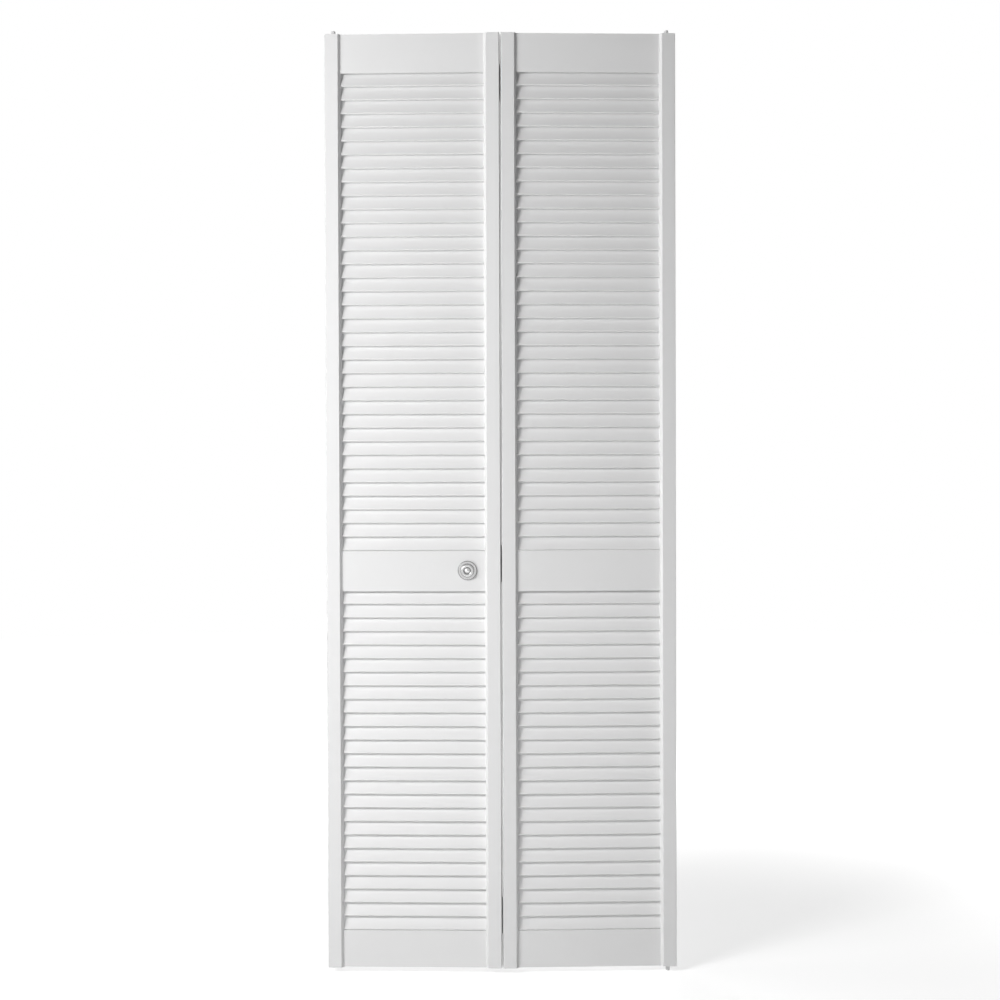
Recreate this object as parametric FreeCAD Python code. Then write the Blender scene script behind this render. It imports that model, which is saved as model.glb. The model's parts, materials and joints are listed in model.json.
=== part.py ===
"""Two-panel louvred bifold closet door with its hinges, knob, pivots and track guide.

Millimetres. +Z is up, -Y is the room side and +X is towards the jamb that the door pivots on.
The origin is on the pivot axis, at the shoulder of the bottom pivot that seats on its bracket.
Every piece is built where it lies with the door shut. Pieces of the lead panel are mirror images
of the pivot panel's, and both panels are then turned to a slight fold, the hinges to the room.
"""

import FreeCAD, Part
import math
import os

V = FreeCAD.Vector
UP = V(0, 0, 1)
TILT_STEPS = 20  # rounds that settle the slats' tilt, far more than it needs

# Door, shut
DOOR_WIDTH = 749.3
DOOR_HEIGHT = 2006.6
DOOR_THICKNESS = 34.9
MEETING_GAP = 0.5
REST_FOLD = 2.3  # degrees that each panel is turned from shut

# Stiles and rails
STILE_WIDTH = 33.5
BEVEL_WIDTH = 5.0
BEVEL_DEPTH = 8.0
EDGE_RADIUS = 1.5
EASED_RADIUS = 0.6
TOP_RAIL_HEIGHT = 83.0
MID_RAIL_HEIGHT = 86.5
BOTTOM_RAIL_HEIGHT = 79.1

# Louvres: flat slats with eased edges, sloping down to the room
UPPER_SLAT_COUNT = 35
LOWER_SLAT_COUNT = 25
SLAT_THICKNESS = 5.0
SLAT_EDGE_RADIUS = 0.8
SLAT_OVERLAP = 5.0
SLAT_SETBACK = 0.7
SLAT_GAP_ABOVE_RAIL = 1.0
SLAT_HOUSING_DEPTH = 6.0
SLAT_END_CLEARANCE = 0.4
SLAT_SIDE_CLEARANCE = 0.15
REBATE_LIP = 3.5

# Dowels between rails and stiles
DOWEL_RADIUS = 4.0
DOWEL_LENGTH = 38.0
DOWEL_DEPTH_IN_STILE = 16.0
DOWEL_SPACING = 20.0
MID_DOWEL_SPACING = 46.0
DOWEL_CLEARANCE = 0.05
DOWEL_END_CLEARANCE = 0.5

# Hinges: surface-mounted on the closet side
HINGE_LENGTH = 76.2
KNUCKLE_RADIUS = 3.5
KNUCKLE_COUNT = 5
KNUCKLE_GAP = 0.3
LEAF_WIDTH = 24.0
LEAF_THICKNESS = 1.8
LEAF_CORNER_RADIUS = 3.0
HINGE_PIN_RADIUS = 1.5
HINGE_PIN_HEAD_RADIUS = 2.6
HINGE_PIN_HEAD_HEIGHT = 1.4
HINGE_PIN_CLEARANCE = 0.05
TOP_HINGE_FROM_TOP = 101.0
MID_HINGE_FROM_BOTTOM = 870.0
BOTTOM_HINGE_FROM_BOTTOM = 107.0
SCREW_RADIUS = 1.7
SCREW_HEAD_RADIUS = 3.3
SCREW_LENGTH = 12.7
SCREW_CLEARANCE = 0.05
SCREW_SPACING = 26.0
SCREW_FROM_AXIS = 12.0
SCREW_STAGGER = 5.0

# Pivots and guide, in the ends of the outer stiles
PIVOT_INSET = 17.5
TIP_RADIUS = 4.76
TIP_LENGTH = 8.0
TIP_END_HEIGHT = 1.2
SHANK_RADIUS = 5.2
RUNNING_CLEARANCE = 0.05
SLEEVE_RADIUS = 7.5
SLEEVE_FLANGE_RADIUS = 9.5
SLEEVE_FLANGE_HEIGHT = 1.5
SLEEVE_CLEARANCE = 0.1
SLEEVE_GUIDE_LENGTH = 10.0
COLLAR_RADIUS = 6.1
COLLAR_HEIGHT = 2.0
COLLAR_CLEARANCE = 0.15
SPRING_LENGTH = 22.0
SPRING_MEAN_RADIUS = 4.9
SPRING_WIRE_RADIUS = 0.5
SPRING_TURNS = 7
SPRING_WIRE_ARCS = 8  # equal arcs that make up the round section of the wire
SPRING_STUB_RADIUS = 3.6
SPRING_STUB_LENGTH = 6.0
SPRING_SEAT_CLEARANCE = 0.05
BUSHING_LENGTH = 26.0
BOTTOM_SHANK_LENGTH = 21.0
BOTTOM_COLLAR_FLATS = 14.0
BOTTOM_COLLAR_HEIGHT = 3.2
THRUST_CLEARANCE = 0.1

# Knob
KNOB_FROM_HINGE_EDGE = 71.6
KNOB_ABOVE_RAIL_MIDDLE = 1.5
ROSE_RADIUS = 20.6
ROSE_HEIGHT = 2.8
ROSE_EDGE_RADIUS = 1.2
KNOB_RADIUS = 13.8
KNOB_FOOT_RADIUS = 9.0
KNOB_STEM_RADIUS = 6.5
KNOB_STEM_LENGTH = 4.4
KNOB_HEAD_HEIGHT = 6.2
KNOB_BACK_EDGE_RADIUS = 1.2
KNOB_RIM_WIDTH = 5.4
KNOB_GROOVE_SLOPE = 1.0
KNOB_GROOVE_DEPTH = 2.8
KNOB_BUTTON_RADIUS = 5.6
KNOB_BUTTON_EDGE = 0.8
KNOB_BUTTON_RISE = 1.9
KNOB_SCREW_RADIUS = 2.0
KNOB_SCREW_CLEARANCE = 0.1
KNOB_SCREW_ENGAGEMENT = 6.0
KNOB_SCREW_HEAD_RADIUS = 4.4
KNOB_SCREW_HEAD_HEIGHT = 2.4

# Places that follow from the sizes above
PANEL_WIDTH = (DOOR_WIDTH - MEETING_GAP) / 2
PANEL_BOTTOM = BOTTOM_COLLAR_HEIGHT + THRUST_CLEARANCE
PANEL_TOP = PANEL_BOTTOM + DOOR_HEIGHT
FACE_Y = DOOR_THICKNESS / 2
RAIL_THICKNESS = DOOR_THICKNESS - 2 * BEVEL_DEPTH
RAIL_Y = RAIL_THICKNESS / 2
JAMB_EDGE_X = PIVOT_INSET
HINGE_EDGE_X = JAMB_EDGE_X - PANEL_WIDTH
RAIL_END_X = JAMB_EDGE_X - STILE_WIDTH
RAIL_START_X = HINGE_EDGE_X + STILE_WIDTH
SLAT_PITCH = (DOOR_HEIGHT - TOP_RAIL_HEIGHT - MID_RAIL_HEIGHT - BOTTOM_RAIL_HEIGHT) / (
    UPPER_SLAT_COUNT + LOWER_SLAT_COUNT
)
LOWER_LOUVRE_BOTTOM = PANEL_BOTTOM + BOTTOM_RAIL_HEIGHT
MID_RAIL_BOTTOM = LOWER_LOUVRE_BOTTOM + LOWER_SLAT_COUNT * SLAT_PITCH
MID_RAIL_MIDDLE = MID_RAIL_BOTTOM + MID_RAIL_HEIGHT / 2
UPPER_LOUVRE_BOTTOM = MID_RAIL_BOTTOM + MID_RAIL_HEIGHT
TOP_RAIL_BOTTOM = PANEL_TOP - TOP_RAIL_HEIGHT
REBATE_HEIGHT = SLAT_OVERLAP + 2 * SLAT_GAP_ABOVE_RAIL
SLAT_REACH = RAIL_Y - SLAT_SETBACK
HINGE_AXIS_X = HINGE_EDGE_X - MEETING_GAP / 2
HINGE_AXIS_Y = FACE_Y + KNUCKLE_RADIUS
HINGE_HEIGHTS = {
    "top": PANEL_TOP - TOP_HINGE_FROM_TOP,
    "mid": PANEL_BOTTOM + MID_HINGE_FROM_BOTTOM,
    "bottom": PANEL_BOTTOM + BOTTOM_HINGE_FROM_BOTTOM,
}
SLEEVE_LENGTH = SLEEVE_GUIDE_LENGTH + COLLAR_HEIGHT + SPRING_LENGTH
SLEEVE_BOTTOM = PANEL_TOP - SLEEVE_LENGTH
KNOB_X = HINGE_EDGE_X + KNOB_FROM_HINGE_EDGE
KNOB_Z = MID_RAIL_MIDDLE + KNOB_ABOVE_RAIL_MIDDLE
KNOB_BORE_RADIUS = KNOB_SCREW_RADIUS + KNOB_SCREW_CLEARANCE


# General shapes


def cylinder(radius, base, direction, length):
    return Part.makeCylinder(radius, length, base, direction)


def rounded_face(corners):
    """Flat face from (point, radius) corners in order, with a tangent arc at each round corner."""
    edges = []
    ends = []
    for index, (point, radius) in enumerate(corners):
        if not radius:
            ends.append((point, point, None))
            continue
        back = (corners[index - 1][0] - point).normalize()
        ahead = (corners[(index + 1) % len(corners)][0] - point).normalize()
        half_angle = back.getAngle(ahead) / 2
        inward = (back + ahead).normalize()
        start = point + back * (radius / math.tan(half_angle))
        end = point + ahead * (radius / math.tan(half_angle))
        middle = point + inward * (radius / math.sin(half_angle) - radius)
        ends.append((start, end, middle))
    for index, (start, end, middle) in enumerate(ends):
        if middle:
            edges.append(Part.Arc(start, middle, end).toShape())
        next_start = ends[(index + 1) % len(ends)][0]
        edges.append(Part.LineSegment(end, next_start).toShape())
    return Part.Face(Part.Wire(edges))


def box(low_x, high_x, low_y, high_y, low_z, high_z):
    return Part.makeBox(high_x - low_x, high_y - low_y, high_z - low_z, V(low_x, low_y, low_z))


# Louvres


def slat_core():
    """Size and tilt of the rectangle through the centres of the slat's four rounded edges.

    Rounded off, it just fills the louvre's depth and one pitch with the overlap in height.
    """
    thickness = SLAT_THICKNESS - 2 * SLAT_EDGE_RADIUS
    depth = 2 * (SLAT_REACH - SLAT_EDGE_RADIUS)
    height = SLAT_PITCH + SLAT_OVERLAP - 2 * SLAT_EDGE_RADIUS
    tilt = math.atan2(depth, height)
    for _ in range(TILT_STEPS):
        tilt = math.atan2(depth - thickness * math.cos(tilt), height - thickness * math.sin(tilt))
    length = (height - thickness * math.sin(tilt)) / math.cos(tilt)
    return thickness, length, tilt


def slat(nose_bottom, start_x, end_x, clearance):
    """A flat bar with eased edges; its lower edge is at the room side, its upper one behind."""
    thickness, length, tilt = slat_core()
    along = V(0, math.sin(tilt), math.cos(tilt))
    across = V(0, -along.z, along.y)
    rounding = SLAT_EDGE_RADIUS + clearance
    front_y = -SLAT_REACH + SLAT_EDGE_RADIUS
    lowest = V(start_x, front_y + thickness * along.z, nose_bottom + SLAT_EDGE_RADIUS)
    outline = []
    for end, side in ((0, 0), (0, 1), (1, 1), (1, 0)):
        centre = lowest + along * (end * length) + across * (side * thickness)
        outward = along * (2 * end - 1) + across * (2 * side - 1)
        outline.append((centre + outward * rounding, rounding))
    return rounded_face(outline).extrude(V(end_x - start_x, 0, 0))


def louvre(bottom, count, end_depth, clearance):
    """Slats above one another, whose ends reach end_depth into the stiles on both sides."""
    low_x = RAIL_START_X - end_depth
    high_x = RAIL_END_X + end_depth
    first = bottom + SLAT_GAP_ABOVE_RAIL
    return [slat(first + n * SLAT_PITCH, low_x, high_x, clearance) for n in range(count)]


def both_louvres(end_depth, clearance):
    lower = louvre(LOWER_LOUVRE_BOTTOM, LOWER_SLAT_COUNT, end_depth, clearance)
    upper = louvre(UPPER_LOUVRE_BOTTOM, UPPER_SLAT_COUNT, end_depth, clearance)
    return lower, upper


# Dowels


def dowel_heights():
    """Two dowels to each rail end, clear of the pivot sleeves in the stile ends."""
    top_middle = (TOP_RAIL_BOTTOM + SLEEVE_BOTTOM) / 2
    bushing_top = PANEL_BOTTOM + BUSHING_LENGTH
    bottom_middle = (bushing_top + LOWER_LOUVRE_BOTTOM) / 2
    heights = []
    for middle, spacing in (
        (top_middle, DOWEL_SPACING),
        (MID_RAIL_MIDDLE, MID_DOWEL_SPACING),
        (bottom_middle, DOWEL_SPACING),
    ):
        heights += [middle - spacing / 2, middle + spacing / 2]
    return heights


def dowels(clearance, end_clearance):
    """All dowels of a panel, or with clearances the bores that take them."""
    length = DOWEL_LENGTH + 2 * end_clearance
    solids = []
    for z in dowel_heights():
        for joint_x, inward in ((RAIL_START_X, V(1, 0, 0)), (RAIL_END_X, V(-1, 0, 0))):
            start = V(joint_x, 0, z) - inward * (DOWEL_DEPTH_IN_STILE + end_clearance)
            solids.append(cylinder(DOWEL_RADIUS + clearance, start, inward, length))
    return solids


# Frame of a panel


def stile(edge_x, inward):
    """Full-height post with a bevel down to the rails on both faces of its inner edge."""
    flat_x = edge_x + inward * (STILE_WIDTH - BEVEL_WIDTH)
    inner_x = edge_x + inward * STILE_WIDTH
    outline = [
        (V(edge_x, -FACE_Y, PANEL_BOTTOM), EDGE_RADIUS),
        (V(flat_x, -FACE_Y, PANEL_BOTTOM), EASED_RADIUS),
        (V(inner_x, -RAIL_Y, PANEL_BOTTOM), 0),
        (V(inner_x, RAIL_Y, PANEL_BOTTOM), 0),
        (V(flat_x, FACE_Y, PANEL_BOTTOM), EASED_RADIUS),
        (V(edge_x, FACE_Y, PANEL_BOTTOM), EDGE_RADIUS),
    ]
    post = rounded_face(outline).extrude(UP * DOOR_HEIGHT)
    lower, upper = both_louvres(SLAT_HOUSING_DEPTH, SLAT_SIDE_CLEARANCE)
    return post.cut(lower + upper).cut(dowels(DOWEL_CLEARANCE, DOWEL_END_CLEARANCE))


def rail(bottom, height, rebated):
    """Cross piece; a rebate behind its lower edge takes the top of the uppermost slat."""
    top = bottom + height
    solid = box(RAIL_START_X, RAIL_END_X, -RAIL_Y, RAIL_Y, bottom, top)
    if rebated:
        rebate_y = -RAIL_Y + REBATE_LIP
        solid = solid.cut(
            box(RAIL_START_X, RAIL_END_X, rebate_y, RAIL_Y, bottom, bottom + REBATE_HEIGHT)
        )
    return solid.cut(dowels(DOWEL_CLEARANCE, DOWEL_END_CLEARANCE))


# Hinges


def knuckle_span(centre_z, index):
    step = HINGE_LENGTH / KNUCKLE_COUNT
    low = centre_z - HINGE_LENGTH / 2 + index * step
    return low + KNUCKLE_GAP / 2, low + step - KNUCKLE_GAP / 2


def hinge_screw_points(centre_z):
    """Three staggered screws on the outer face of a leaf."""
    face_y = FACE_Y + LEAF_THICKNESS
    points = []
    for row in (-1, 0, 1):
        stagger = SCREW_STAGGER if row == 0 else 0
        points.append(V(HINGE_AXIS_X + SCREW_FROM_AXIS + stagger, face_y, centre_z + row * SCREW_SPACING))
    return points


def hinge_screw(point, clearance):
    """Countersunk screw with a 90 degree head, driven towards the room."""
    inward = V(0, -1, 0)
    head_radius = SCREW_HEAD_RADIUS + clearance
    shank_radius = SCREW_RADIUS + clearance
    head = Part.makeCone(head_radius, shank_radius, head_radius - shank_radius, point, inward)
    return head.fuse(cylinder(shank_radius, point, inward, SCREW_LENGTH + clearance)).removeSplitter()


def hinge_leaf(centre_z, first_knuckle):
    """Plate on the closet face of the stile, with every second knuckle of the barrel."""
    low_z = centre_z - HINGE_LENGTH / 2
    plate_x = HINGE_AXIS_X + KNUCKLE_RADIUS + KNUCKLE_GAP
    end_x = HINGE_AXIS_X + LEAF_WIDTH
    outline = [
        (V(plate_x, FACE_Y, low_z), 0),
        (V(end_x, FACE_Y, low_z), LEAF_CORNER_RADIUS),
        (V(end_x, FACE_Y, low_z + HINGE_LENGTH), LEAF_CORNER_RADIUS),
        (V(plate_x, FACE_Y, low_z + HINGE_LENGTH), 0),
    ]
    leaf = rounded_face(outline).extrude(V(0, LEAF_THICKNESS, 0))
    for index in range(first_knuckle, KNUCKLE_COUNT, 2):
        low, high = knuckle_span(centre_z, index)
        barrel = cylinder(KNUCKLE_RADIUS, V(HINGE_AXIS_X, HINGE_AXIS_Y, low), UP, high - low)
        web = box(HINGE_AXIS_X, plate_x, FACE_Y, FACE_Y + LEAF_THICKNESS, low, high)
        leaf = leaf.fuse([barrel, web])
    bore_radius = HINGE_PIN_RADIUS + HINGE_PIN_CLEARANCE
    bore = cylinder(bore_radius, V(HINGE_AXIS_X, HINGE_AXIS_Y, low_z), UP, HINGE_LENGTH)
    screws = [hinge_screw(point, SCREW_CLEARANCE) for point in hinge_screw_points(centre_z)]
    return leaf.removeSplitter().cut([bore] + screws)


def hinge_pin(centre_z):
    """Pin with a round head above the barrel and a peened end below it."""
    low = V(HINGE_AXIS_X, HINGE_AXIS_Y, centre_z - HINGE_LENGTH / 2)
    high = low + UP * HINGE_LENGTH
    shank = cylinder(HINGE_PIN_RADIUS, low, UP, HINGE_LENGTH)
    head = cylinder(HINGE_PIN_HEAD_RADIUS, high, UP, HINGE_PIN_HEAD_HEIGHT)
    peened = cylinder(HINGE_PIN_HEAD_RADIUS, low, -UP, HINGE_PIN_HEAD_HEIGHT)
    return shank.fuse([head, peened]).removeSplitter()


def all_hinge_screws(clearance):
    return [
        hinge_screw(point, clearance)
        for centre_z in HINGE_HEIGHTS.values()
        for point in hinge_screw_points(centre_z)
    ]


# Pivots and guide, on the pivot axis


def sleeve_recess(mouth, direction, length):
    """Bore with a shallow counterbore at its mouth, for a flanged sleeve."""
    bore = cylinder(SLEEVE_RADIUS + SLEEVE_CLEARANCE, mouth, direction, length)
    flange = cylinder(SLEEVE_FLANGE_RADIUS + SLEEVE_CLEARANCE, mouth, direction, SLEEVE_FLANGE_HEIGHT)
    return bore.fuse(flange)


def flanged_tube(mouth, direction, length):
    tube = cylinder(SLEEVE_RADIUS, mouth, direction, length)
    return tube.fuse(cylinder(SLEEVE_FLANGE_RADIUS, mouth, direction, SLEEVE_FLANGE_HEIGHT)).removeSplitter()


def spring_sleeve():
    """Nylon sleeve flush with the top: a close guide above a chamber for collar and spring."""
    mouth = V(0, 0, PANEL_TOP)
    guide_end = mouth - UP * SLEEVE_GUIDE_LENGTH
    guide = cylinder(SHANK_RADIUS + RUNNING_CLEARANCE, mouth, -UP, SLEEVE_GUIDE_LENGTH)
    chamber_length = SLEEVE_LENGTH - SLEEVE_GUIDE_LENGTH
    chamber = cylinder(COLLAR_RADIUS + COLLAR_CLEARANCE, guide_end, -UP, chamber_length)
    return flanged_tube(mouth, -UP, SLEEVE_LENGTH).cut([guide, chamber])


def tip(shoulder, direction):
    """Free end of a pivot: a straight pin with a tapered end."""
    straight = cylinder(TIP_RADIUS, shoulder, direction, TIP_LENGTH)
    taper = Part.makeCone(
        TIP_RADIUS, TIP_RADIUS - TIP_END_HEIGHT, TIP_END_HEIGHT, shoulder + direction * TIP_LENGTH, direction
    )
    return straight.fuse(taper)


def sprung_pin():
    """Nylon pin whose collar stops under the guide of its sleeve."""
    shoulder = V(0, 0, PANEL_TOP)
    collar_top = shoulder - UP * SLEEVE_GUIDE_LENGTH
    collar_bottom = collar_top - UP * COLLAR_HEIGHT
    shank = cylinder(SHANK_RADIUS, shoulder, -UP, SLEEVE_GUIDE_LENGTH)
    collar = cylinder(COLLAR_RADIUS, collar_top, -UP, COLLAR_HEIGHT)
    stub = cylinder(SPRING_STUB_RADIUS, collar_bottom, -UP, SPRING_STUB_LENGTH)
    return tip(shoulder, UP).fuse([shank, collar, stub]).removeSplitter()


def spring():
    """Coil between the collar and the floor of the bore in the stile."""
    margin = SPRING_WIRE_RADIUS + SPRING_SEAT_CLEARANCE
    height = SPRING_LENGTH - 2 * margin
    coil = Part.makeHelix(height / SPRING_TURNS, height, SPRING_MEAN_RADIUS)
    start = V(SPRING_MEAN_RADIUS, 0, 0)
    slope = V(0, 2 * math.pi * SPRING_MEAN_RADIUS, height / SPRING_TURNS)
    arc_angle = 360 / SPRING_WIRE_ARCS
    section = Part.Wire(
        [
            Part.makeCircle(SPRING_WIRE_RADIUS, start, slope, n * arc_angle, (n + 1) * arc_angle)
            for n in range(SPRING_WIRE_ARCS)
        ]
    )
    solid = Part.Wire(coil).makePipeShell([section], True, True)
    return solid.translated(V(0, 0, SLEEVE_BOTTOM + margin))


def bottom_bushing():
    mouth = V(0, 0, PANEL_BOTTOM)
    depth = BOTTOM_SHANK_LENGTH + THRUST_CLEARANCE
    bore = cylinder(SHANK_RADIUS + RUNNING_CLEARANCE, mouth, UP, depth)
    return flanged_tube(mouth, UP, BUSHING_LENGTH).cut(bore)


def bottom_pivot_pin():
    """Pin that the door turns on; its hexagonal collar carries the bushing."""
    corner_radius = BOTTOM_COLLAR_FLATS / math.sqrt(3)
    corners = [
        (V(corner_radius * math.cos(n * math.pi / 3), corner_radius * math.sin(n * math.pi / 3), 0), 0)
        for n in range(6)
    ]
    collar = rounded_face(corners).extrude(UP * BOTTOM_COLLAR_HEIGHT)
    shank = cylinder(SHANK_RADIUS, V(0, 0, BOTTOM_COLLAR_HEIGHT), UP, BOTTOM_SHANK_LENGTH)
    return collar.fuse([shank, tip(V(0, 0, 0), -UP)]).removeSplitter()


# Knob, on the room face of the lead panel's mid rail


def knob_point(radius, height):
    """Point of a profile that turns about the knob's axis; height is measured from the rail."""
    return V(KNOB_X + radius, -RAIL_Y - height, KNOB_Z)


def turned(face):
    return face.revolve(V(KNOB_X, 0, KNOB_Z), V(0, 1, 0), 360)


def knob_rose():
    profile = [
        (knob_point(KNOB_BORE_RADIUS, 0), 0),
        (knob_point(ROSE_RADIUS, 0), 0),
        (knob_point(ROSE_RADIUS, ROSE_HEIGHT), ROSE_EDGE_RADIUS),
        (knob_point(KNOB_BORE_RADIUS, ROSE_HEIGHT), 0),
    ]
    return turned(rounded_face(profile))


def knob_button(groove):
    """Domed button on the floor of the knob's groove."""
    shoulder = groove + KNOB_BUTTON_EDGE
    top = shoulder + KNOB_BUTTON_RISE
    dome_radius = (KNOB_BUTTON_RADIUS**2 + KNOB_BUTTON_RISE**2) / (2 * KNOB_BUTTON_RISE)
    half_way = math.asin(KNOB_BUTTON_RADIUS / dome_radius) / 2
    on_dome = knob_point(dome_radius * math.sin(half_way), top - dome_radius * (1 - math.cos(half_way)))
    outline = [
        Part.LineSegment(knob_point(0, groove), knob_point(KNOB_BUTTON_RADIUS, groove)),
        Part.LineSegment(knob_point(KNOB_BUTTON_RADIUS, groove), knob_point(KNOB_BUTTON_RADIUS, shoulder)),
        Part.Arc(knob_point(KNOB_BUTTON_RADIUS, shoulder), on_dome, knob_point(0, top)),
        Part.LineSegment(knob_point(0, top), knob_point(0, groove)),
    ]
    return turned(Part.Face(Part.Wire([line.toShape() for line in outline])))


def knob():
    """Waisted stem and a head whose round rim and groove ring a domed button."""
    neck = ROSE_HEIGHT + KNOB_STEM_LENGTH
    front = neck + KNOB_HEAD_HEIGHT
    groove = front - KNOB_GROOVE_DEPTH
    bore_end = ROSE_HEIGHT + KNOB_SCREW_ENGAGEMENT + KNOB_SCREW_CLEARANCE
    profile = [
        (knob_point(0, bore_end), 0),
        (knob_point(KNOB_BORE_RADIUS, bore_end), 0),
        (knob_point(KNOB_BORE_RADIUS, ROSE_HEIGHT), 0),
        (knob_point(KNOB_FOOT_RADIUS, ROSE_HEIGHT), 0),
        (knob_point(KNOB_STEM_RADIUS, ROSE_HEIGHT + KNOB_STEM_LENGTH / 2), KNOB_STEM_LENGTH / 2),
        (knob_point(KNOB_RADIUS, neck + KNOB_HEAD_HEIGHT / 4), KNOB_BACK_EDGE_RADIUS),
        (knob_point(KNOB_RADIUS, front), KNOB_RIM_WIDTH / 2),
        (knob_point(KNOB_RADIUS - KNOB_RIM_WIDTH - KNOB_GROOVE_SLOPE / 4, front), KNOB_RIM_WIDTH / 4),
        (knob_point(KNOB_RADIUS - KNOB_RIM_WIDTH - KNOB_GROOVE_SLOPE, groove), 0),
        (knob_point(0, groove), 0),
    ]
    return turned(rounded_face(profile)).fuse(knob_button(groove)).removeSplitter()


def knob_screw():
    """Pan-head screw through the rail and the rose into the knob."""
    seat = V(KNOB_X, RAIL_Y, KNOB_Z)
    length = RAIL_THICKNESS + ROSE_HEIGHT + KNOB_SCREW_ENGAGEMENT
    shank = cylinder(KNOB_SCREW_RADIUS, seat, V(0, -1, 0), length)
    head = cylinder(KNOB_SCREW_HEAD_RADIUS, seat, V(0, 1, 0), KNOB_SCREW_HEAD_HEIGHT)
    rim = [edge for edge in head.Edges if abs(edge.CenterOfMass.y - RAIL_Y - KNOB_SCREW_HEAD_HEIGHT) < 1e-6]
    return head.makeFillet(KNOB_SCREW_HEAD_HEIGHT / 2, rim).fuse(shank).removeSplitter()


# Assembly


def in_pivot_panel(shape):
    return shape.rotated(V(0, 0, 0), UP, REST_FOLD)


def in_lead_panel(shape):
    hinge_axis = V(HINGE_AXIS_X, HINGE_AXIS_Y, 0)
    mirrored = shape.mirror(hinge_axis, V(1, 0, 0))
    return in_pivot_panel(mirrored.rotated(hinge_axis, UP, -2 * REST_FOLD))


def panel_nodes(name, place):
    """The frame, louvres, dowels, hinge screws and top sleeve that both panels have."""
    top_mouth = V(0, 0, PANEL_TOP)
    lower, upper = both_louvres(SLAT_HOUSING_DEPTH - SLAT_END_CLEARANCE, 0)
    pieces = {
        "outer_stile": stile(JAMB_EDGE_X, -1).cut(sleeve_recess(top_mouth, -UP, SLEEVE_LENGTH)),
        "hinge_stile": stile(HINGE_EDGE_X, 1).cut(all_hinge_screws(SCREW_CLEARANCE)),
        "top_rail": rail(TOP_RAIL_BOTTOM, TOP_RAIL_HEIGHT, True),
        "mid_rail": rail(MID_RAIL_BOTTOM, MID_RAIL_HEIGHT, True),
        "bottom_rail": rail(PANEL_BOTTOM, BOTTOM_RAIL_HEIGHT, False),
        "upper_slats": Part.makeCompound(upper),
        "lower_slats": Part.makeCompound(lower),
        "rail_dowels": Part.makeCompound(dowels(0, 0)),
        "hinge_screws": Part.makeCompound(all_hinge_screws(0)),
    }
    return {f"{name}_{piece}": place(shape) for piece, shape in pieces.items()}


def hinge_nodes():
    nodes = {}
    for name, centre_z in HINGE_HEIGHTS.items():
        nodes[f"{name}_hinge_pivot_leaf"] = in_pivot_panel(hinge_leaf(centre_z, 0))
        nodes[f"{name}_hinge_lead_leaf"] = in_lead_panel(hinge_leaf(centre_z, 1))
        nodes[f"{name}_hinge_pin"] = in_pivot_panel(hinge_pin(centre_z))
    return nodes


def door_nodes():
    nodes = panel_nodes("pivot", in_pivot_panel)
    nodes.update(panel_nodes("lead", in_lead_panel))
    nodes.update(hinge_nodes())
    bottom_recess = sleeve_recess(V(0, 0, PANEL_BOTTOM), UP, BUSHING_LENGTH)
    nodes["pivot_outer_stile"] = nodes["pivot_outer_stile"].cut(in_pivot_panel(bottom_recess))
    knob_bore = cylinder(KNOB_BORE_RADIUS, V(KNOB_X, -RAIL_Y, KNOB_Z), V(0, 1, 0), RAIL_THICKNESS)
    nodes["lead_mid_rail"] = nodes["lead_mid_rail"].cut(in_lead_panel(knob_bore))
    nodes["knob_rose"] = in_lead_panel(knob_rose())
    nodes["knob"] = in_lead_panel(knob())
    nodes["knob_screw"] = in_lead_panel(knob_screw())
    nodes["top_pivot_sleeve"] = in_pivot_panel(spring_sleeve())
    nodes["top_pivot_pin"] = in_pivot_panel(sprung_pin())
    nodes["top_pivot_spring"] = in_pivot_panel(spring())
    nodes["guide_sleeve"] = in_lead_panel(spring_sleeve())
    nodes["guide_pin"] = in_lead_panel(sprung_pin())
    nodes["guide_spring"] = in_lead_panel(spring())
    nodes["bottom_pivot_bushing"] = in_pivot_panel(bottom_bushing())
    nodes["bottom_pivot_pin"] = bottom_pivot_pin()
    return nodes


os.makedirs("parts", exist_ok=True)
for node_name, node_shape in door_nodes().items():
    node_shape.exportStep(f"parts/{node_name}.step")
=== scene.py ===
"""Looks of the white louvred bifold door: finishes of its pieces, studio light, floor and camera."""

import json
import math

import bpy
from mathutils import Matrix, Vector


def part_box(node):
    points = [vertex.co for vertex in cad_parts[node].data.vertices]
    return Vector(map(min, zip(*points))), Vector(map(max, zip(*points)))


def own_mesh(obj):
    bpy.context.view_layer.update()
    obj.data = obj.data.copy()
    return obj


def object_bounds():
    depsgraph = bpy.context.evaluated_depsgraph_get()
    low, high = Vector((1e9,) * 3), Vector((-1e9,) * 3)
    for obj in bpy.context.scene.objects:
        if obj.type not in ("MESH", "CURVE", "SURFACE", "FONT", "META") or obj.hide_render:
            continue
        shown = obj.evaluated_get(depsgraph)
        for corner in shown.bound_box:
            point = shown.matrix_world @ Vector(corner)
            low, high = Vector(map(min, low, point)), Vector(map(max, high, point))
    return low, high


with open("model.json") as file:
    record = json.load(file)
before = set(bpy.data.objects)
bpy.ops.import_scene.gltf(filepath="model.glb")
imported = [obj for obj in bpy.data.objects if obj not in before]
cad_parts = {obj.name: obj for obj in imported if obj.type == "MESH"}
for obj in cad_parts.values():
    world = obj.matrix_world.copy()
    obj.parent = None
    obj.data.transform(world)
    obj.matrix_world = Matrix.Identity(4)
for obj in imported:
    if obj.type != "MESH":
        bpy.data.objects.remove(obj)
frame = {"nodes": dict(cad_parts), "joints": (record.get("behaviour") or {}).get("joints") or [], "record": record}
cad_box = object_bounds()

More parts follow.
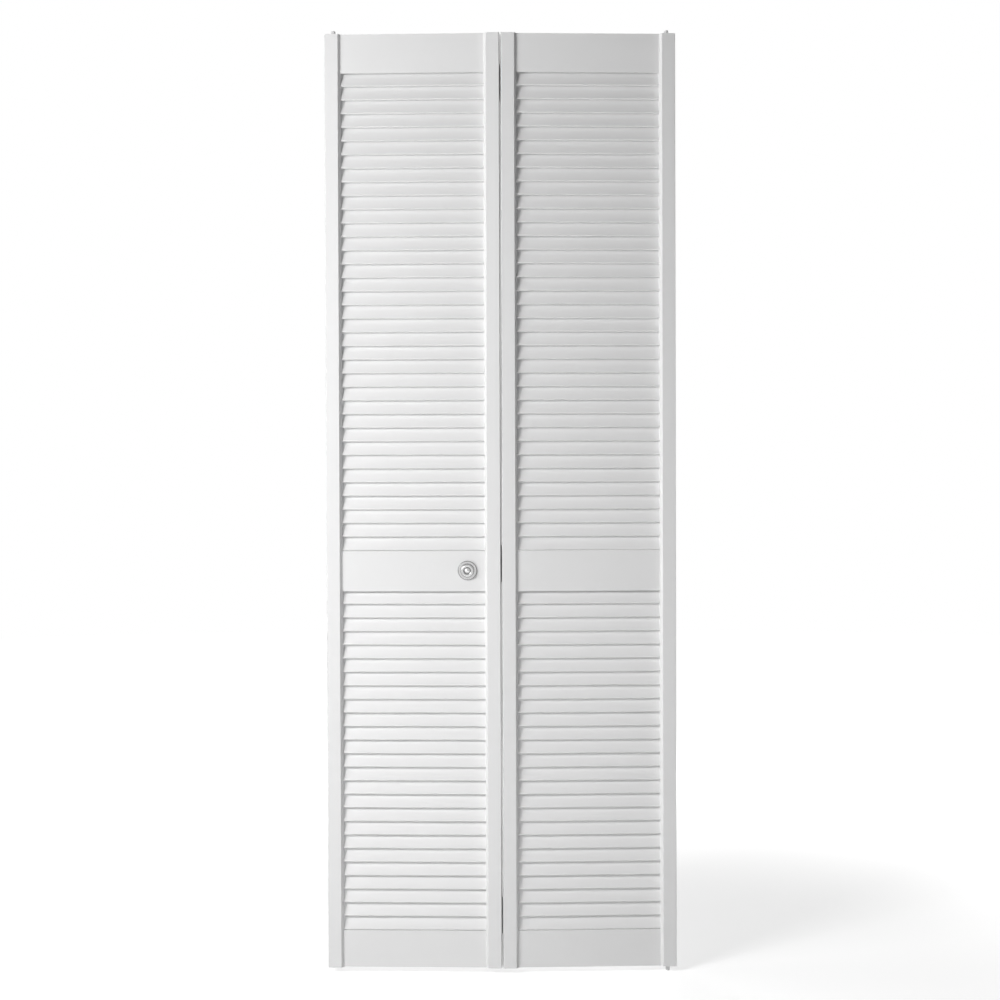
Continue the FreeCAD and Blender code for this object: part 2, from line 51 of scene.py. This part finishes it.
# Camera: in front of the hinge line, a little above the door's middle
CAMERA_PLACE = Vector((-0.3684, -4.2, 1.0752))
CAMERA_TILT = math.radians(-0.882)
CAMERA_ROLL = math.radians(0.183)
CAMERA_PAN = math.radians(-0.115)
CAMERA_LENS = 70.07
SENSOR_WIDTH = 36.0

# Studio: the three main lamps stand left of the room-side view, each placed by its azimuth in
# degrees, its distance and its height. The high one stands above the key.
KEY_SIZE = (1.0, 0.6)
NEAR_AZIMUTH = 50
NEAR_DISTANCE = 2.2
NEAR_HEIGHT = 1.35
NEAR_POWER = 18.6
KEY_AZIMUTH = 37
KEY_DISTANCE = 3.2
KEY_HEIGHT = 2.1
KEY_POWER = 37.4
HIGH_HEIGHT = 2.7
HIGH_POWER = 13.7

# The low one lifts the bottom rails. The last three light the closet side, the right edge and the
# top, and hang where little of their light comes through the louvres.
LOW_PLACE = Vector((-0.358, -1.6, 0.15))
LOW_SIZE = (1.5, 0.3)
LOW_POWER = 4.0
REAR_PLACE = Vector((-1.5, 3.4, 0.9))
REAR_SIZE = (1.6, 1.6)
REAR_POWER = 50.0
SIDE_PLACE = Vector((3.0, 0.9, 0.9))
SIDE_SIZE = (1.0, 1.6)
SIDE_POWER = 38.0
TOP_PLACE = Vector((-0.358, 0.1, 2.9))
TOP_SIZE = (1.0, 0.3)
TOP_POWER = 3.5
FILL_STRENGTH = 0.03

# Floor: a glowing disc that is as white as the world from FLOOR_FADE_END on
FLOOR_SIDES = 96
FLOOR_RADIUS = 9.0
FLOOR_FADE_START = 0.9
FLOOR_FADE_END = 2.6
FLOOR_TONE = 0.82
FLOOR_ROUGHNESS = 0.9
FLOOR_GLOW = 0.56

MM = 0.001

# Finishes. A tone is the lightest grey of a finish, and its mottle is the darkest one's share of it.
# Clouds, lines, peel, bloom, scratches, grain and rings are the sizes of a noise's cells, and a depth
# is how high its bumps stand.
NOISE_LOW, NOISE_HIGH = 0.3, 0.7  # where most of a noise's values lie
NOISE_ROUGHNESS = 0.55

VINYL_TONE = 0.86
SLAT_TONE = 0.88
VINYL_MOTTLE = 0.985
VINYL_ROUGHNESS = (0.49, 0.60)
VINYL_CLOUDS = (190 * MM, 190 * MM, 310 * MM)
DRAW_LINE_LENGTH = 350 * MM
DRAW_LINE_WIDTH = 1.6 * MM
DRAW_LINE_DEPTH = 0.012 * MM
VINYL_PEEL = 1.1 * MM
VINYL_PEEL_DEPTH = 0.008 * MM

ZINC_TONE = 0.62
HINGE_TONE = 0.74
ZINC_MOTTLE = 0.88
ZINC_ROUGHNESS = (0.24, 0.42)
ZINC_BLOOM = 4 * MM
ZINC_SCRATCHES = (0.2 * MM, 0.2 * MM, 6 * MM)
ZINC_SCRATCH_DEPTH = 0.004 * MM

NYLON_TONE = 0.84
NYLON_MOTTLE = 0.97
NYLON_ROUGHNESS = (0.28, 0.38)
NYLON_CLOUDS = 12 * MM
NYLON_PEEL = 0.6 * MM
NYLON_PEEL_DEPTH = 0.006 * MM

BEECH_DARK = (0.50, 0.33, 0.18)
BEECH_LIGHT = (0.72, 0.53, 0.34)
BEECH_ROUGHNESS = (0.60, 0.78)
BEECH_GRAIN = (30 * MM, 1.2 * MM, 1.2 * MM)
BEECH_GRAIN_DEPTH = 0.06 * MM

NICKEL_TONE = 0.56
NICKEL_MOTTLE = 0.95
NICKEL_ROUGHNESS = (0.21, 0.31)
NICKEL_CLOUDS = 7 * MM
NICKEL_RINGS = 0.25 * MM
NICKEL_RING_DEPTH = 0.004 * MM

# Painted shade on the knob: radii at which its colour is darkened, and how far: its button's groove, its rim and
# the rose's edge
NICKEL_SHADES = {6.8 * MM: 0.3, 13.8 * MM: 0.6, 20.6 * MM: 0.12}
NICKEL_SHADE_WIDTH = 2.2 * MM


# Shader helpers


def new_material(name):
    material = bpy.data.materials.new(name)
    material.use_nodes = True
    tree = material.node_tree
    shader = next(node for node in tree.nodes if node.type == "BSDF_PRINCIPLED")
    return material, tree, shader


def noise(tree, grain, detail):
    """Noise whose cells are grain = (x, y, z) metres in size, in the piece's own coordinates."""
    place = tree.nodes.new("ShaderNodeTexCoord")
    scale = tree.nodes.new("ShaderNodeMapping")
    scale.inputs["Scale"].default_value = [1 / length for length in grain]
    cells = tree.nodes.new("ShaderNodeTexNoise")
    cells.inputs["Scale"].default_value = 1.0
    cells.inputs["Detail"].default_value = detail
    cells.inputs["Roughness"].default_value = NOISE_ROUGHNESS
    tree.links.new(place.outputs["Object"], scale.inputs["Vector"])
    tree.links.new(scale.outputs["Vector"], cells.inputs["Vector"])
    return cells.outputs["Fac"]


def spread(tree, value, limits):
    """Maps the middle of a noise's range onto limits = (low, high)."""
    node = tree.nodes.new("ShaderNodeMapRange")
    node.inputs["From Min"].default_value = NOISE_LOW
    node.inputs["From Max"].default_value = NOISE_HIGH
    node.inputs["To Min"].default_value, node.inputs["To Max"].default_value = limits
    tree.links.new(value, node.inputs["Value"])
    return node.outputs["Result"]


def between(tree, share, first, second):
    """Colour that goes from first to second with share, over the middle of a noise's range."""
    ramp = tree.nodes.new("ShaderNodeValToRGB")
    ramp.color_ramp.elements[0].position = NOISE_LOW
    ramp.color_ramp.elements[0].color = (*first, 1)
    ramp.color_ramp.elements[1].position = NOISE_HIGH
    ramp.color_ramp.elements[1].color = (*second, 1)
    tree.links.new(share, ramp.inputs["Fac"])
    return ramp.outputs["Color"]


def relief(tree, shader, layers):
    """Bump from (height value, depth in metres) layers, one over the other."""
    normal = None
    for height, depth in layers:
        bump = tree.nodes.new("ShaderNodeBump")
        bump.inputs["Strength"].default_value = 1.0
        bump.inputs["Distance"].default_value = depth
        tree.links.new(height, bump.inputs["Height"])
        if normal:
            tree.links.new(normal, bump.inputs["Normal"])
        normal = bump.outputs["Normal"]
    tree.links.new(normal, shader.inputs["Normal"])


def grey(tone):
    return (tone, tone, tone)


def mottled(tree, share, tone, darkest):
    """Grey of a tone that goes down to its darkest share."""
    return between(tree, share, grey(tone * darkest), grey(tone))


# Finishes


def vinyl(name, along, tone):
    """Satin white extrusion: faint draw lines along its axis and a fine peel all over."""
    material, tree, shader = new_material(name)
    clouds = noise(tree, VINYL_CLOUDS, detail=2)
    line = [DRAW_LINE_LENGTH if axis == along else DRAW_LINE_WIDTH for axis in "xyz"]
    lines = noise(tree, line, detail=2)
    peel = noise(tree, (VINYL_PEEL,) * 3, detail=2)
    tree.links.new(mottled(tree, clouds, tone, VINYL_MOTTLE), shader.inputs["Base Color"])
    tree.links.new(spread(tree, lines, VINYL_ROUGHNESS), shader.inputs["Roughness"])
    relief(tree, shader, [(lines, DRAW_LINE_DEPTH), (peel, VINYL_PEEL_DEPTH)])
    return material


def zinc(name, tone):
    """Bright plating with a cloudy bloom and fine scratches along Z."""
    material, tree, shader = new_material(name)
    bloom = noise(tree, (ZINC_BLOOM,) * 3, detail=4)
    scratches = noise(tree, ZINC_SCRATCHES, detail=2)
    tree.links.new(mottled(tree, bloom, tone, ZINC_MOTTLE), shader.inputs["Base Color"])
    shader.inputs["Metallic"].default_value = 1.0
    tree.links.new(spread(tree, bloom, ZINC_ROUGHNESS), shader.inputs["Roughness"])
    relief(tree, shader, [(scratches, ZINC_SCRATCH_DEPTH)])
    return material


def nylon():
    material, tree, shader = new_material("nylon")
    clouds = noise(tree, (NYLON_CLOUDS,) * 3, detail=2)
    peel = noise(tree, (NYLON_PEEL,) * 3, detail=2)
    tree.links.new(mottled(tree, clouds, NYLON_TONE, NYLON_MOTTLE), shader.inputs["Base Color"])
    tree.links.new(spread(tree, peel, NYLON_ROUGHNESS), shader.inputs["Roughness"])
    relief(tree, shader, [(peel, NYLON_PEEL_DEPTH)])
    return material


def beech():
    material, tree, shader = new_material("beech")
    grain = noise(tree, BEECH_GRAIN, detail=4)
    tree.links.new(between(tree, grain, BEECH_DARK, BEECH_LIGHT), shader.inputs["Base Color"])
    tree.links.new(spread(tree, grain, BEECH_ROUGHNESS), shader.inputs["Roughness"])
    relief(tree, shader, [(grain, BEECH_GRAIN_DEPTH)])
    return material


def knob_radius(tree):
    """Distance of each point from the knob's axis."""
    low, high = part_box("knob_rose")
    place = tree.nodes.new("ShaderNodeTexCoord")
    shift = tree.nodes.new("ShaderNodeVectorMath")
    shift.operation = "SUBTRACT"
    shift.inputs[1].default_value = (low + high) / 2
    tree.links.new(place.outputs["Object"], shift.inputs[0])
    flat = tree.nodes.new("ShaderNodeVectorMath")
    flat.operation = "MULTIPLY"
    flat.inputs[1].default_value = (1, 0, 1)
    tree.links.new(shift.outputs["Vector"], flat.inputs[0])
    distance = tree.nodes.new("ShaderNodeVectorMath")
    distance.operation = "LENGTH"
    tree.links.new(flat.outputs["Vector"], distance.inputs[0])
    return distance.outputs["Value"]


def painted_shade_ring(tree, color, distance, radius, shade):
    """Colour with painted shade: darkened to shade at a radius of the knob, and itself again NICKEL_SHADE_WIDTH
    away.
    """
    off = tree.nodes.new("ShaderNodeMath")
    off.operation = "SUBTRACT"
    off.inputs[1].default_value = radius
    tree.links.new(distance, off.inputs[0])
    size = tree.nodes.new("ShaderNodeMath")
    size.operation = "ABSOLUTE"
    tree.links.new(off.outputs["Value"], size.inputs[0])
    share = tree.nodes.new("ShaderNodeMapRange")
    share.interpolation_type = "SMOOTHSTEP"
    share.inputs["From Max"].default_value = NICKEL_SHADE_WIDTH
    share.inputs["To Min"].default_value = shade
    tree.links.new(size.outputs["Value"], share.inputs["Value"])
    dark = tree.nodes.new("ShaderNodeVectorMath")
    dark.operation = "SCALE"
    tree.links.new(color, dark.inputs[0])
    tree.links.new(share.outputs["Result"], dark.inputs["Scale"])
    return dark.outputs["Vector"]


def satin_nickel():
    """Turned and brushed: fine rings about the knob's axis, and painted shade at its groove, rim and rose edge."""
    material, tree, shader = new_material("satin_nickel")
    distance = knob_radius(tree)
    rings = tree.nodes.new("ShaderNodeTexNoise")
    rings.noise_dimensions = "1D"
    rings.inputs["Scale"].default_value = 1 / NICKEL_RINGS
    rings.inputs["Detail"].default_value = 2.0
    tree.links.new(distance, rings.inputs["W"])
    clouds = noise(tree, (NICKEL_CLOUDS,) * 3, detail=3)
    color = mottled(tree, clouds, NICKEL_TONE, NICKEL_MOTTLE)
    # painted shade: the colour darkens in rings at the groove, the rim and the rose's edge
    for radius, shade in NICKEL_SHADES.items():
        color = painted_shade_ring(tree, color, distance, radius, shade)
    tree.links.new(color, shader.inputs["Base Color"])
    shader.inputs["Metallic"].default_value = 1.0
    rough = spread(tree, rings.outputs["Fac"], NICKEL_ROUGHNESS)
    tree.links.new(rough, shader.inputs["Roughness"])
    relief(tree, shader, [(rings.outputs["Fac"], NICKEL_RING_DEPTH)])
    return material


def dress_nodes():
    stiles = vinyl("vinyl_stile", "z", VINYL_TONE)
    rails = vinyl("vinyl_rail", "x", VINYL_TONE)
    steel = zinc("zinc", ZINC_TONE)
    finishes = {
        "white_slat": vinyl("vinyl_slat", "x", SLAT_TONE),
        "hinge_steel": zinc("hinge_zinc", HINGE_TONE),
        "pin_steel": steel,
        "screw_steel": steel,
        "knob_metal": satin_nickel(),
        "nylon_white": nylon(),
        "dowel_wood": beech(),
    }
    slots = {row["node"]: row["material_slot"] for row in frame["record"]["subparts"]}
    for name, node in frame["nodes"].items():
        if name.endswith("_rail"):
            finish = rails
        else:
            finish = finishes.get(slots[name], stiles)
        for slot in node.material_slots:
            slot.material = finish


def compress_springs():
    """Gives each spring that a joint deforms a mesh of its own."""
    for joint in frame["joints"]:
        for spring in joint.get("deforming_nodes", []):
            name = spring["node"]
            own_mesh(frame["nodes"][name])


# Studio


def lamp_place(azimuth, distance, height, middle):
    angle = math.radians(azimuth)
    left = distance * math.sin(angle)
    front = distance * math.cos(angle)
    return Vector((middle.x - left, -front, height))


def lamp(name, place, size, power, target):
    data = bpy.data.lights.new(name, "AREA")
    data.shape = "RECTANGLE"
    data.size, data.size_y = size
    data.energy = power
    light = bpy.data.objects.new(name, data)
    light.location = place
    light.rotation_euler = (target - place).to_track_quat("-Z", "Y").to_euler()
    light.visible_camera = False
    bpy.context.scene.collection.objects.link(light)
    return light


def seen_directly(tree):
    """1 where a camera, mirror or glass ray arrives, and 0 for the light that falls on the door."""
    path = tree.nodes.new("ShaderNodeLightPath")
    seen = path.outputs["Is Camera Ray"]
    for kind in ("Is Glossy Ray", "Is Transmission Ray"):
        either = tree.nodes.new("ShaderNodeMath")
        either.operation = "MAXIMUM"
        tree.links.new(seen, either.inputs[0])
        tree.links.new(path.outputs[kind], either.inputs[1])
        seen = either.outputs["Value"]
    return seen


def white_world():
    world = bpy.data.worlds.new("studio")
    world.use_nodes = True
    bpy.context.scene.world = world
    tree = world.node_tree
    background = next(node for node in tree.nodes if node.type == "BACKGROUND")
    background.inputs["Color"].default_value = (1, 1, 1, 1)
    strength = tree.nodes.new("ShaderNodeMapRange")
    strength.inputs["To Min"].default_value = FILL_STRENGTH
    strength.inputs["To Max"].default_value = 1.0
    tree.links.new(seen_directly(tree), strength.inputs["Value"])
    tree.links.new(strength.outputs["Result"], background.inputs["Strength"])


def floor_finish(centre):
    """Pale paper that glows to the camera, and far from centre is as white as the world."""
    material, tree, shader = new_material("floor_paper")
    shader.inputs["Base Color"].default_value = (*grey(FLOOR_TONE), 1)
    shader.inputs["Roughness"].default_value = FLOOR_ROUGHNESS
    shader.inputs["Specular IOR Level"].default_value = 0.0
    place = tree.nodes.new("ShaderNodeTexCoord")
    away = tree.nodes.new("ShaderNodeVectorMath")
    away.operation = "DISTANCE"
    away.inputs[1].default_value = centre
    tree.links.new(place.outputs["Object"], away.inputs[0])
    fade = tree.nodes.new("ShaderNodeMapRange")
    fade.interpolation_type = "SMOOTHSTEP"
    fade.inputs["From Min"].default_value = FLOOR_FADE_START
    fade.inputs["From Max"].default_value = FLOOR_FADE_END
    fade.inputs["To Min"].default_value = FLOOR_GLOW
    fade.inputs["To Max"].default_value = 1.0
    tree.links.new(away.outputs["Value"], fade.inputs["Value"])
    glow = tree.nodes.new("ShaderNodeMath")
    glow.operation = "MULTIPLY"
    tree.links.new(fade.outputs["Result"], glow.inputs[0])
    tree.links.new(seen_directly(tree), glow.inputs[1])
    shader.inputs["Emission Color"].default_value = (1, 1, 1, 1)
    tree.links.new(glow.outputs["Value"], shader.inputs["Emission Strength"])
    return material


def studio_floor(centre):
    bpy.ops.mesh.primitive_circle_add(
        vertices=FLOOR_SIDES, radius=FLOOR_RADIUS, fill_type="NGON", location=centre
    )
    floor = bpy.context.object
    floor.name = "studio_floor"
    floor.data.materials.append(floor_finish((0, 0, 0)))


def build_studio():
    low, high = cad_box
    middle = (low + high) / 2
    studio_floor(Vector((middle.x, middle.y, low.z)))
    near_place = lamp_place(NEAR_AZIMUTH, NEAR_DISTANCE, NEAR_HEIGHT, middle)
    key_place = lamp_place(KEY_AZIMUTH, KEY_DISTANCE, KEY_HEIGHT, middle)
    high_place = lamp_place(KEY_AZIMUTH, KEY_DISTANCE, HIGH_HEIGHT, middle)
    lamp("near_light", near_place, KEY_SIZE, NEAR_POWER, middle)
    lamp("key_light", key_place, KEY_SIZE, KEY_POWER, middle)
    lamp("high_light", high_place, KEY_SIZE, HIGH_POWER, middle)
    lamp("low_light", LOW_PLACE, LOW_SIZE, LOW_POWER, middle)
    rear = lamp("rear_light", REAR_PLACE, REAR_SIZE, REAR_POWER, middle)
    rear.visible_glossy = False  # the hinges would mirror it as a white glare
    lamp("side_light", SIDE_PLACE, SIDE_SIZE, SIDE_POWER, middle)
    lamp("top_light", TOP_PLACE, TOP_SIZE, TOP_POWER, middle)
    white_world()
    bpy.context.scene.view_settings.view_transform = "Standard"


def build_camera():
    data = bpy.data.cameras.new("camera")
    data.lens = CAMERA_LENS
    data.sensor_width = SENSOR_WIDTH
    camera = bpy.data.objects.new("camera", data)
    camera.location = CAMERA_PLACE
    camera.rotation_euler = (math.pi / 2 + CAMERA_TILT, CAMERA_ROLL, CAMERA_PAN)
    bpy.context.scene.collection.objects.link(camera)
    bpy.context.scene.camera = camera


dress_nodes()
compress_springs()
build_studio()
build_camera()
